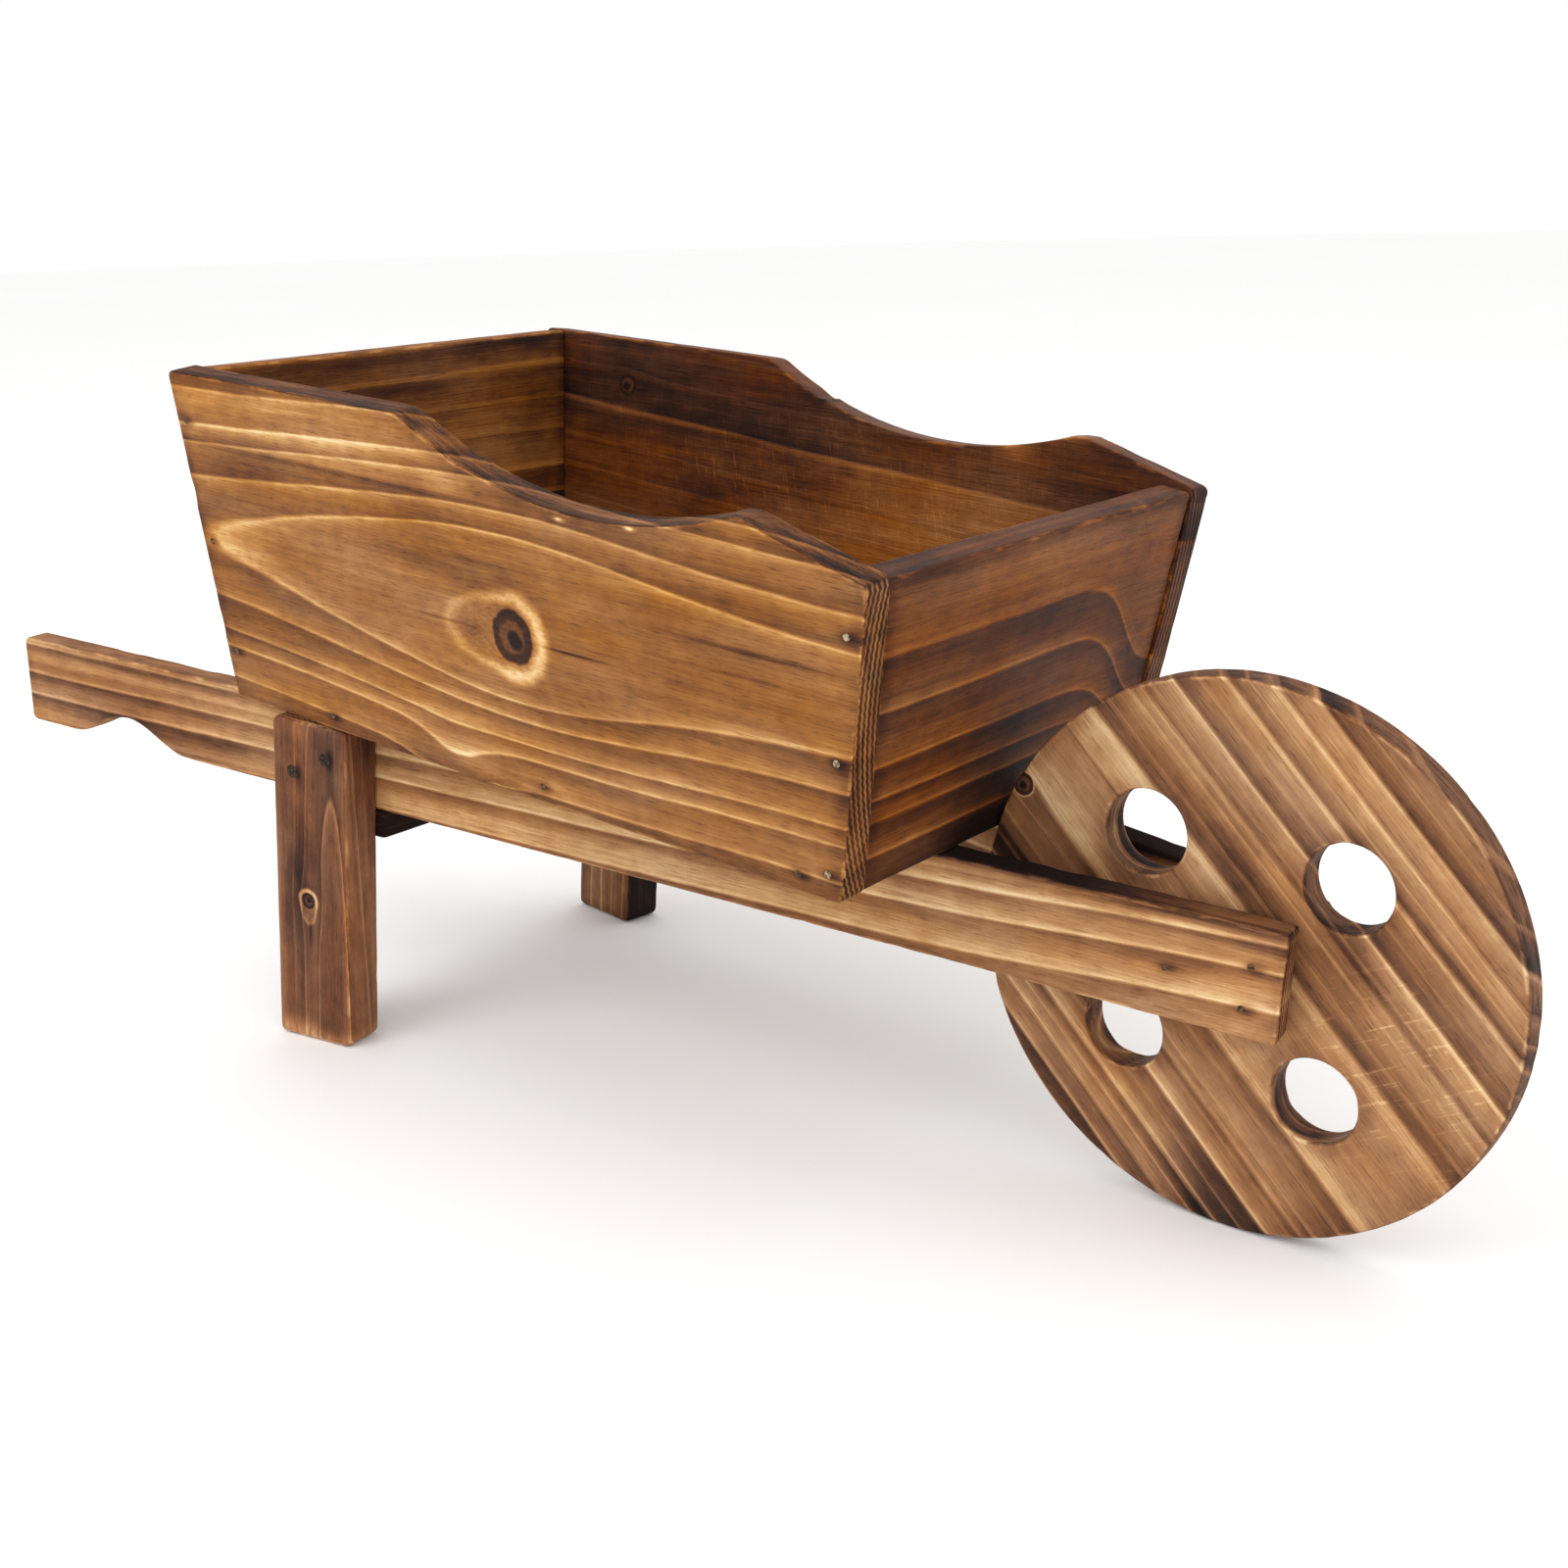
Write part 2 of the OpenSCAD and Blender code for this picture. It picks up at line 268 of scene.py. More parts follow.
@dataclass
class Look:
    """How one board's wood looks. Lengths are in mm, in the board's own frame."""

    # Offset into the noise, so that no two boards match
    seed: float
    # The pith of the tree, where x is 0: across the board, and out of its face
    pith: tuple = (0.0, 60.0)
    # How far the pith moves across and out for each mm along the grain
    pith_slope: tuple = (0.0, 0.0)
    # Where the pith bends away from the face or, if negative, to it: (along, half length, shift)
    bends: tuple = ()
    # Where a swelling shifts the grain across: (along, across, half length, half width, shift)
    swells: tuple = ()
    # Width of a growth ring, and how unevenly the rings are spaced
    ring: float = 6.0
    uneven: float = 1.0
    # How far the grain wanders from straight
    wander: float = 5.0
    # General tone: 0 is char, 1 is the palest grain line
    tone: float = 0.62
    # Strength of the dark band that starts each ring, and of the pale line that ends it
    band: float = 0.22
    line: float = 0.22
    # How much one ring's tone differs from the next
    variety: float = 0.14
    # Strong single rings: (radius, pale line, dark band outside it, width of that band)
    accents: tuple = ()
    # Width over which a strong ring grows pale
    soft: float = 4.5
    # Strength of the burnt clouds, and of the char on edges, top edges and sawn ends
    burn: float = 0.25
    edge_char: float = 0.12
    top_char: float = 0.3
    end_char: float = 0.12
    # Strength of the pale wear along sharp edges
    worn: float = 0.22
    # Strength of the ring lines on sawn ends
    end_line: float = 0.7
    # Share of the palette's colour that is kept, and strength of the red tint
    rich: float = 1.0
    red: float = 0.1
    # Strength of the saw marks across the grain, and of the fine fibres
    saw: float = 0.0
    fibre: float = 0.3
    # Knots: (along, across, radius of the dark core, radius of the pale eye or 0 for none)
    knots: tuple = ()
    # Torch-burnt patches, and a few patches of painted shade, pale where negative: (along,
    # across, half length, half width, strength)
    burns_and_shade: tuple = ()
    # Patch of pale scratches across the grain: (along, across, half length, half width, strength)
    scratches: tuple = ()
    # Stained nail holes: (along, across)
    stains: tuple = ()


def gaussian(shader, along, across, length, width):
    """1 in the middle of an ellipse, and fading out of it."""
    far = (along / length) * (along / length) + (across / width) * (across / width)
    return shader.math("EXPONENT", far * -1.0)


def growth(shader, look, x, y, z):
    """Distance from the pith at each point, after the grain has flowed round the knots."""
    seed = look.seed
    slow = (x / 130 + seed, y / 42 + seed, z / 42)
    sway = (shader.noise(*slow) - 0.5) * (2 * look.wander)
    lean = (shader.noise(slow[0] + 9.3, slow[1], slow[2] + 4.1) - 0.5) * (2 * look.wander)
    ripple = (shader.noise(x / 22 + seed, y / 9, z / 9) - 0.5) * (0.3 * look.wander)
    across = y + sway + ripple
    for along, middle, core, ring in look.knots:
        wide = max(core, ring)
        pull = gaussian(shader, x - along, y - middle, 2.6 * wide, 1.2 * wide)
        across = across - (across - middle) * (pull * 0.7)
    for along, middle, length, width, shift in look.swells:
        across = across + gaussian(shader, x - along, y - middle, length, width) * shift
    across = across - x * look.pith_slope[0] - look.pith[0]
    out = z + lean - x * look.pith_slope[1] - look.pith[1]
    for along, length, shift in look.bends:
        reach = (x - along) / length
        out = out - shader.math("EXPONENT", reach * reach * -1.0) * shift
    return shader.math("SQRT", across * across + out * out)


def ring_tone(shader, look, radius, x, y, z):
    """Tone of the rings: each starts with a dark band and ends in a thin pale line."""
    uneven = (shader.noise(radius / 22 + look.seed, 0.0, 0.0) - 0.5) * look.uneven
    rings = radius / look.ring + uneven
    phase = shader.math("FRACT", rings)
    number = shader.math("FLOOR", rings)
    luck = shader.chance(number + look.seed)
    other = shader.chance(number + (look.seed + 37.7))
    patchy = shader.noise(x / 95 + look.seed, y / 26, z / 26) * 1.5 - 0.25
    band = shader.rise(phase, 0.0, 0.03) * (1.0 - shader.rise(phase, 0.05, 0.8))
    line = shader.rise(phase, 0.74, 0.88) * (1.0 - shader.rise(phase, 0.95, 1.0))
    tone = band * (luck + 0.35) * patchy * -look.band
    tone = tone + line * (other * 1.1 + 0.25) * look.line
    return tone + (luck - 0.5) * look.variety, line


def accent_tone(shader, look, radius):
    """Tone of the strong single rings: each grows pale up to its edge, then starts dark."""
    reach = max(accent[0] + accent[3] for accent in look.accents) + 5.0
    stops = [(0.0, 0.5)]
    for place, pale, dark, width in sorted(look.accents):
        stops += [
            (place - look.soft, 0.5), (place - 0.35 * look.soft, 0.5 + 0.4 * pale),
            (place - 0.12 * look.soft, 0.5 + pale), (place + 0.1 * look.soft, 0.5 - dark),
            (place + width, 0.5),
        ]
    greys = [(at / reach, (level, level, level, 1.0)) for at, level in stops]
    return shader.ramp(radius / reach, greys) - 0.5


def knot_tone(shader, knot, x, y, tone):
    """Draws one knot over the tone: a dark core in a pale eye that is drawn out to one side."""
    along, middle, core, ring = knot
    wobble = (shader.noise(x / 6, y / 6, along) - 0.5) * (0.3 * core)
    reach = x - along
    rise = y - middle
    speckle = shader.noise(x / 2.4 + 3, y / 1.2, along, 3.0) - 0.5
    far = shader.math("SQRT", reach * reach + rise * rise) + wobble
    if ring > core:
        behind = 1.0 - shader.rise(reach, -1.3 * ring, 0.5 * ring)
        drawn = reach * (1.0 - behind * 0.5)
        lift = shader.math("ABSOLUTE", rise) * behind * 0.14
        eye_far = shader.math("SQRT", drawn * drawn + rise * rise) + wobble + lift
        eye = 1.0 - shader.rise(eye_far, 0.86 * ring, 1.16 * ring)
        start = behind * (0.28 * ring) + 0.5 * ring
        pale = shader.rise(eye_far, start, start + 0.32 * ring)
        inside = pale * 0.4 + speckle * 0.35 + 0.56
        tone = tone + (inside - tone) * (eye * 0.95)
    bark = shader.rise(far, 0.56 * core, 0.72 * core)
    heart = 1.0 - shader.rise(far + rise * 0.3 - reach * 0.3, 0.16 * core, 0.42 * core)
    inner = speckle * 0.3 - bark * 0.2 - heart * 0.36 + 0.36
    within = 1.0 - shader.rise(far, 0.92 * core, 1.06 * core)
    return tone + (inner - tone) * within


def burn_and_shade_tone(shader, look, x, y, z, facing, rim):
    """How much the torch has darkened each point, with the painted shade of a few listed patches.
    """
    seed = look.seed
    cloud = shader.noise(x / 90 + seed, y / 34 + seed, z / 34, 3.0)
    burnt_and_shaded = shader.rise(cloud, 0.46, 0.78) * look.burn
    ragged = shader.noise(x / 16 + seed, y / 5, z / 5 + seed, 3.0) - 0.5
    near_edge = 1.0 - shader.rise(rim + ragged * 9.0, 0.5, 8.0)
    burnt_and_shaded = burnt_and_shaded + near_edge * look.edge_char
    top = shader.rise(facing[1], 0.3, 0.8)
    ends = shader.rise(shader.math("ABSOLUTE", facing[0]), 0.4, 0.9)
    streaky = shader.noise(x / 30 + seed, y / 5, z / 1.6, 3.0) - 0.5
    burnt_and_shaded = burnt_and_shaded + top * look.top_char * (streaky * 2.4 + 1.0) + ends * look.end_char
    # Some of these patches are painted shade, where a board lies in shade behind or beside
    # another part.
    for along, middle, length, width, strength in look.burns_and_shade:
        spot = gaussian(shader, x - along + ragged * 9.0, y - middle + ragged * (0.5 * width),
                        length, width)
        burnt_and_shaded = burnt_and_shaded + spot * strength
    for along, middle in look.stains:
        stain = gaussian(shader, x - along, y - middle, STAIN_LENGTH, STAIN_WIDTH)
        burnt_and_shaded = burnt_and_shaded + stain * STAIN_STRENGTH
    return burnt_and_shaded


def end_lines(shader, y, z):
    """Tone of a sawn end: the rings edge on, as fine lines that the saw's teeth have jogged."""
    teeth = shader.math("PINGPONG", y, SAW_TOOTH)
    jogged = y * y / 300 + z + teeth * 0.3
    lines = shader.math("PINGPONG", jogged, END_RING) / END_RING
    return lines + (shader.noise(jogged / 0.8, 0.0, 0.0, 1.0) - 0.5) * 0.8 - 0.5


def scratch_tone(shader, look, x, y):
    """Tone of a patch of thin pale scratches across the grain."""
    lean = x - y * 0.3
    fine = shader.noise(lean / 1.1 + look.seed, y / 26, 0.0, 1.0)
    broken = shader.noise(lean / 3 + look.seed, y / 4, 4.0, 2.0)
    lines = shader.rise(fine, 0.56, 0.68) * shader.rise(broken, 0.42, 0.6)
    along, middle, length, width, strength = look.scratches
    return lines * gaussian(shader, x - along, y - middle, length, width) * strength


@dataclass
class Texture:
    """Fine patterns that both a board's colour and its bumps follow."""

    # Long fibres, dark flecks, cloudy patches and saw marks across the grain
    fibre: Field
    fleck: Field
    mottle: Field
    marks: Field


def texture(shader, seed, x, y, z):
    return Texture(
        fibre=shader.noise(x / 24 + seed, y / 0.6, z / 0.6, 4.0, 0.6) - 0.5,
        fleck=shader.rise(shader.noise(x / 7 + seed, y / 0.5, z / 0.5, 2.0), 0.58, 0.74),
        mottle=shader.noise(x / 9 + seed, y / 7, z / 7, 4.0, 0.65) - 0.5,
        marks=shader.noise(x / 0.9 + seed, y / 60, z / 60, 3.0) - 0.5,
    )


def bare_tone(shader, look, fine, x, y, z, facing):
    """Tone of the wood before the torch, and the pale line that ends each of its rings."""
    radius = growth(shader, look, x, y, z)
    tone, line = ring_tone(shader, look, radius, x, y, z)
    if look.accents:
        tone = tone + accent_tone(shader, look, radius)
    streak = shader.noise(x / 110 + look.seed, y / 3.2, z / 3.2, 3.0) - 0.5
    tone = tone + fine.fibre * look.fibre + streak * 0.24
    tone = tone - fine.fleck * 0.12 + fine.mottle * 0.24 + look.tone
    sawn = shader.rise(shader.math("ABSOLUTE", facing[0]), 0.6, 0.9)
    end_tone = end_lines(shader, y, z) * look.end_line + (look.tone - 0.03)
    tone = tone + (end_tone - tone) * (sawn * 0.75)
    if look.scratches:
        tone = tone + scratch_tone(shader, look, x, y)
    for knot in look.knots:
        tone = knot_tone(shader, knot, x, y, tone)
    return tone, line


def worn_tone(shader, look, x, y, z, rim):
    """How much wear has paled the sharp edges."""
    seed = look.seed
    scuff = shader.rise(shader.noise(x / 11 + seed, y / 4, z / 4, 3.0), 0.48, 0.62)
    return (1.0 - shader.rise(rim, 0.5, 1.7)) * scuff * look.worn


def wood(name, look):
    """A material of torched softwood."""
    shader = Shader(name)
    x, y, z = shader.split(shader.attribute("spot", "Vector"))
    facing = shader.split(shader.attribute("facing", "Vector"))
    rim = shader.attribute("rim")
    seed = look.seed
    fine = texture(shader, seed, x, y, z)
    tone, line = bare_tone(shader, look, fine, x, y, z, facing)
    burnt_and_shaded = burn_and_shade_tone(shader, look, x, y, z, facing, rim)
    tone = tone - burnt_and_shaded * (line * -0.4 + 1.0) + fine.marks * look.saw
    tone = tone + worn_tone(shader, look, x, y, z, rim)
    base = shader.ramp(tone, WOOD_TONES)
    blush = shader.noise(x / 60 + seed, y / 18, z / 18, 2.0)
    base = shader.mix(blush * (look.red * 1.8), base, RED_TINT, "MULTIPLY")
    base = shader.saturate(base, blush * 0.24 + (look.rich - 0.12))
    shader.feed(shader.surface.inputs["Base Color"], base)
    rough = burnt_and_shaded * 0.4 + fine.fibre * 0.2 + 0.52
    shader.feed(shader.surface.inputs["Roughness"], rough)
    shader.surface.inputs["Specular IOR Level"].default_value = GLOSS
    height = line * 0.5 + fine.fibre * 0.7 + fine.marks * (look.saw * 3)
    shader.bump(height + fine.mottle * 0.3 - fine.fleck * 0.3, 0.4 * MM)
    return shader.material


def broad_normal(bm, outward):
    """The direction of the largest face that looks roughly outward."""
    facing = [face for face in bm.faces if face.normal.dot(outward) > 0.5]
    return max(facing, key=lambda face: face.calc_area()).normal.copy()


def grain_direction(bm, grain):
    """The direction of the longest straight edge near the grain, or the grain itself."""
    best, longest = grain, LONG_EDGE
    for edge in sharp_edges(bm, EDGE_ANGLE):
        run = edge.verts[1].co - edge.verts[0].co
        share = run.dot(grain) / run.length
        if abs(share) > 0.93 and run.length > longest:
            best, longest = run * share, run.length
    return best


def board_frame(bm, grain, outward):
    """The board's own frame, as a matrix, and its half sizes: see the top of this file."""
    out = broad_normal(bm, outward)
    run = grain_direction(bm, grain)
    along = (run - out * run.dot(out)).normalized()
    turn = Matrix((along, out.cross(along), out)).transposed()
    spots = [turn.transposed() @ vertex.co for vertex in bm.verts]
    low = Vector([min(spot[i] for spot in spots) for i in range(3)])
    high = Vector([max(spot[i] for spot in spots) for i in range(3)])
    middle = turn @ ((low + high) / 2)
    return Matrix.Translation(middle) @ turn.to_4x4(), (high - low) / 2


def fastener_spots(matrix, half, names):
    """Where nail and screw heads lie on the board's outer face: (along, across) in mm."""
    found = []
    inverse = matrix.inverted()
    for name in names:
        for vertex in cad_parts[name].data.vertices:
            spot = inverse @ vertex.co
            at = (spot.x / MM, spot.y / MM)
            alone = all(math.dist(at, other) > HEAD_GAP for other in found)
            if alone and abs(spot.z - half.z) < ON_FACE:
                found.append(at)
    return tuple(found)


def sharp_edges(bm, angle):
    return [edge for edge in bm.edges if edge.calc_face_angle(0.0) > angle]


def rim_distance(points, segments):
    """Distance from each point to the nearest of the segments."""
    nearest = np.full(len(points), np.inf)
    for start, end in segments:
        run = end - start
        share = np.clip((points - start) @ run / max(run @ run, 1e-18), 0, 1)
        gap = np.linalg.norm(points - start - share[:, None] * run, axis=1)
        nearest = np.minimum(nearest, gap)
    return nearest


def round_off(bm, edges, radius):
    bmesh.ops.bevel(bm, geom=edges, offset=radius, segments=ROUND_SEGMENTS, profile=0.5,
                    affect="EDGES", clamp_overlap=True)


def soften(bm, corner, rounding):
    """Rounds a board's corners, then all its edges."""
    corners = []
    for edge in sharp_edges(bm, CORNER_ANGLE):
        run = (edge.verts[1].co - edge.verts[0].co).normalized()
        if abs(run.z) > 0.8:
            corners.append(edge)
    round_off(bm, corners, corner)
    round_off(bm, sharp_edges(bm, EDGE_ANGLE), rounding)


def cut_grid(bm, half):
    """Cuts the board's faces into a fine grid, so that it can be worn unevenly."""
    for axis in range(3):
        count = int(half[axis] / GRID)
        direction = Vector([float(i == axis) for i in range(3)])
        for step in range(-count, count + 1):
            bmesh.ops.bisect_plane(
                bm, geom=bm.verts[:] + bm.edges[:] + bm.faces[:], dist=SAME_POINT,
                plane_co=direction * (step * GRID + GRID_OFFSET), plane_no=direction)


def wear(bm, rim, seed):
    """Sinks the surface unevenly by up to 0.15 mm, and chips its edges by up to about 1 mm."""
    bm.normal_update()
    shift = Vector((seed * 3.1, seed * 1.7, seed))
    for vertex, gap in zip(bm.verts, rim):
        spot = vertex.co / MM
        slow = noise.noise(Vector((spot.x / 34, spot.y / 18, spot.z / 18)) + shift)
        quick = noise.noise(Vector((spot.x / 9, spot.y / 5, spot.z / 5)) + shift)
        edge = max(0.0, 1.0 - gap / (CHIP_REACH * MM))
        chip = max(0.0, quick - 0.25) * 1.1 + 0.12 + 0.12 * quick
        sink = 0.08 + 0.07 * slow + edge * chip
        vertex.co -= vertex.normal * (max(0.02, sink) * MM)


def keep(mesh, name, kind, part, values):
    """Stores a value for each point of the mesh, for its material to read."""
    store = mesh.attributes.new(name, kind, "POINT")
    store.data.foreach_set(part, values.astype(np.float32).ravel())


def clean_copy(name):
    """A CAD board's mesh, with doubled points merged and the triangles of flat faces joined."""
    bm = bmesh.new()
    bm.from_mesh(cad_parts[name].data)
    bmesh.ops.remove_doubles(bm, verts=bm.verts[:], dist=SAME_POINT)
    bmesh.ops.dissolve_limit(bm, angle_limit=SAME_FACE, verts=bm.verts[:], edges=bm.edges[:])
    return bm


def worn_mesh(bm, name, matrix, half, seed, corner, rounding):
    """Shapes and wears a board in its own frame, and returns its mesh in its place."""
    bm.transform(matrix.inverted())
    bm.normal_update()
    segments = []
    for edge in sharp_edges(bm, EDGE_ANGLE):
        segments.append([np.array(vertex.co) for vertex in edge.verts])
    soften(bm, corner * MM, rounding * MM)
    cut_grid(bm, half)
    bm.verts.ensure_lookup_table()
    points = np.array([vertex.co for vertex in bm.verts])
    rim = rim_distance(points, segments)
    wear(bm, rim, seed)
    facing = np.array([vertex.normal for vertex in bm.verts])
    bm.transform(matrix)
    mesh = bpy.data.meshes.new(name)
    bm.to_mesh(mesh)
    bm.free()
    keep(mesh, "rim", "FLOAT", "value", rim / MM)
    keep(mesh, "spot", "FLOAT_VECTOR", "vector", points / MM)
    keep(mesh, "facing", "FLOAT_VECTOR", "vector", facing)
    mesh.shade_smooth()
    return mesh


def board(name, look, grain, outward, body="frame", corner=2.0, rounding=1.3,
          fasteners=()):
    """Rebuilds a CAD board with worn edges and its own wood, and puts it in its place."""
    bm = clean_copy(name)
    matrix, half = board_frame(bm, Vector(grain), Vector(outward))
    look.stains = fastener_spots(matrix, half, fasteners)
    mesh = worn_mesh(bm, name + "_worn", matrix, half, look.seed, corner, rounding)
    mesh.materials.append(wood(name + "_wood", look))
    piece = bpy.data.objects.new(name + "_worn", mesh)
    bpy.context.scene.collection.objects.link(piece)
    piece.modifiers.new("even_normals", "WEIGHTED_NORMAL")
    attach(piece, body)
    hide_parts(name)


def steel(name, shade, dark):
    """Dull steel, stained in patches."""
    shader = Shader(name)
    x, y, z = shader.place()
    patch = shader.rise(shader.noise(x / 1.1, y / 1.1, z / 1.1, 3.0), 0.4, 0.66)
    grain = shader.noise(x / 0.25, y / 0.25, z / 0.25, 2.0)
    shader.feed(shader.surface.inputs["Base Color"], shader.mix(patch, shade, dark))
    shader.feed(shader.surface.inputs["Roughness"], patch * 0.25 + grain * 0.2 + 0.22)
    shader.surface.inputs["Metallic"].default_value = 0.85
    shader.bump(grain, 0.04 * MM)
    return shader.material


def turned_wood(name):
    """Turned softwood, with its grain along Y."""
    shader = Shader(name)
    x, y, z = shader.place()
    fibre = shader.noise(x / 0.6, y / 24, z / 0.6, 4.0, 0.6)
    cloud = shader.noise(x / 7, y / 60, z / 7, 3.0)
    tone = fibre * 0.3 + cloud * 0.5 + 0.15
    shader.feed(shader.surface.inputs["Base Color"], shader.ramp(tone, WOOD_TONES))
    shader.feed(shader.surface.inputs["Roughness"], fibre * 0.2 + 0.5)
    shader.surface.inputs["Specular IOR Level"].default_value = GLOSS
    shader.bump(fibre, 0.2 * MM)
    return shader.material


def add_camera():
    camera = bpy.data.objects.new("camera", bpy.data.cameras.new("camera"))
    bpy.context.scene.collection.objects.link(camera)
    level = Vector((math.cos(AZIMUTH), math.sin(AZIMUTH), 0))
    back = Vector((
        math.sin(AZIMUTH) * math.cos(ELEVATION),
        -math.cos(AZIMUTH) * math.cos(ELEVATION),
        math.sin(ELEVATION),
    ))
    up = back.cross(level)
    right = level * math.cos(ROLL) + up * math.sin(ROLL)
    turn = Matrix((right, back.cross(right), back)).transposed()
    camera.matrix_world = Matrix.Translation(EYE) @ turn.to_4x4()
    camera.data.lens = LENS
    camera.data.sensor_width = SENSOR
    camera.data.clip_start = 0.01
    bpy.context.scene.camera = camera


def add_light(name, place, size, power):
    lamp = bpy.data.lights.new(name, "AREA")
    lamp.shape = "DISK"
    lamp.size = size
    lamp.energy = power
    light = bpy.data.objects.new(name, lamp)
    bpy.context.scene.collection.objects.link(light)
    light.location = place
    aim = LAMP_TARGET - Vector(place)
    light.rotation_euler = aim.to_track_quat("-Z", "Y").to_euler()


def add_floor():
    bm = bmesh.new()
    bmesh.ops.create_circle(bm, cap_ends=True, segments=96, radius=FLOOR_RADIUS)
    mesh = bpy.data.meshes.new("floor")
    bm.to_mesh(mesh)
    bm.free()
    floor = bpy.data.objects.new("floor", mesh)
    bpy.context.scene.collection.objects.link(floor)
    shader = Shader("floor_paint")
    x, y, z = shader.place()
    cloud = shader.noise(x / 700, y / 700, z, 3.0)
    pale = shader.mix(cloud, colour(250, 250, 249), colour(253, 253, 253))
    shader.feed(shader.surface.inputs["Base Color"], pale)
    shader.surface.inputs["Roughness"].default_value = 0.9
    mesh.materials.append(shader.material)
    floor.location.z = -FLOOR_GAP


def add_world():
    world = bpy.data.worlds.new("studio")
    bpy.context.scene.world = world
    world.use_nodes = True
    background = world.node_tree.nodes["Background"]
    background.inputs["Color"].default_value = (1.0, 1.0, 1.0, 1.0)
    background.inputs["Strength"].default_value = 1.0


def tray_nails(side):
    return [row + "_nails_" + side for row in ("front", "back", "floor")]


def build_sides():
    near = Look(
        seed=11.0, pith=(2.5, 34.0), pith_slope=(0.0, -0.0162), bends=((5, 90, -15),),
        swells=((-22, -60, 24, 12, 9),), ring=30, uneven=0.0, wander=1.2, tone=0.57,
        band=0.05, line=0.0, variety=0.03, burn=0.14, top_char=0.26, soft=3.2, rich=0.97,
        accents=(
            (30.0, 0.3, 0.1, 4.0), (37.8, 0.3, 0.13, 6.0), (47.3, 0.26, 0.12, 2.4),
            (53.1, 0.3, 0.1, 7.0), (64.5, 0.26, 0.11, 7.0), (76.0, 0.2, 0.1, 8.0),
        ),
        knots=((14, -5, 9.6, 16.5),),
        burns_and_shade=(
            (-138, 1, 22, 3.5, -0.16), (-96, 54, 60, 12, -0.24), (-140, 36, 30, 5, 0.06),
            (-12, -57, 15, 5, -0.22), (28, -56, 8, 3, -0.18), (42, -5.3, 14, 0.6, 0.4),
            (-22, -5, 12, 0.6, 0.2), (-6, -6, 6, 4, 0.12), (125, 11, 30, 0.9, 0.3),
            (118, 3, 20, 0.7, 0.14), (-80, 39, 70, 1.2, 0.2), (-5, 19, 14, 1.5, 0.14),
            (-150, -30, 30, 10, 0.12), (41, 40, 3.0, 0.7, -0.6), (71, 42, 3.0, 0.7, -0.6),
            (-12, 43, 9, 3, -0.16), (120, -35, 45, 12, 0.03), (40, -36, 90, 12, -0.04),
            (105, 8, 60, 24, 0.09), (-20, -42, 16, 3, -0.1),
        ),
    )
    board("side_board_right", near, FORWARD, RIGHTWARD, corner=3.5,
          fasteners=tray_nails("right"))
    far = Look(
        seed=23.0, pith=(-150, 0), pith_slope=(0.055, 0.0), ring=15, wander=2.0, tone=0.37,
        band=0.04, line=0.03, variety=0.05, red=0.35, saw=0.1, top_char=-0.06, soft=3.0,
        edge_char=0.06,
        accents=((179.5, 0.18, 0.16, 45.0),),
        knots=((111, 45, 5.0, 0.0),),
        burns_and_shade=(
            (-70, 0, 70, 34, -0.26), (120, 47, 60, 12, 0.1), (-88, 43, 9, 5, -0.22),
            (-112, 52, 14, 3, -0.2), (112, 35, 12, 3, -0.16), (60, -20, 50, 20, 0.06),
        ),
        scratches=(20, 18, 110, 24, 0.14),
    )
    board("side_board_left", far, BACKWARD, LEFTWARD, corner=3.5,
          fasteners=tray_nails("left"))


def build_ends():
    front = Look(
        seed=31.0, pith=(170, 116), bends=((85, 26, -85),), ring=30, wander=1.5, tone=0.35,
        band=0.04, line=0.03, variety=0.04, red=0.3, burn=0.14, top_char=0.04, soft=4.0,
        accents=(
            (180.4, 0.26, 0.12, 9.0), (195.4, 0.26, 0.15, 9.0), (210.9, 0.26, 0.14, 4.5),
            (220.4, 0.24, 0.14, 2.4), (227.4, 0.26, 0.16, 5.0), (238.0, 0.28, 0.14, 5.0),
        ),
        burns_and_shade=(
            (0, 42, 75, 13, -0.14), (-8, -8, 26, 10, 0.14), (-10, -42, 26, 20, 0.28),
            (85, 10, 14, 45, -0.08), (10, 18, 40, 6, 0.05),
        ),
    )
    board("front_board", front, LEFTWARD, FORWARD)
    back = Look(
        seed=47.0, pith=(170, 0), ring=13.5, wander=2.5, tone=0.49, band=0.2, line=0.22,
        red=0.15, top_char=0.04, burns_and_shade=((-80, 20, 30, 60, 0.12), (0, 58, 90, 8, 0.08)),
    )
    board("back_board", back, RIGHTWARD, BACKWARD)
    for name, seed in (("floor_board_right", 53.0), ("floor_board_left", 59.0)):
        look = Look(seed=seed, pith=(20, 55), ring=7.0, tone=0.5, red=0.15)
        board(name, look, FORWARD, UPWARD)


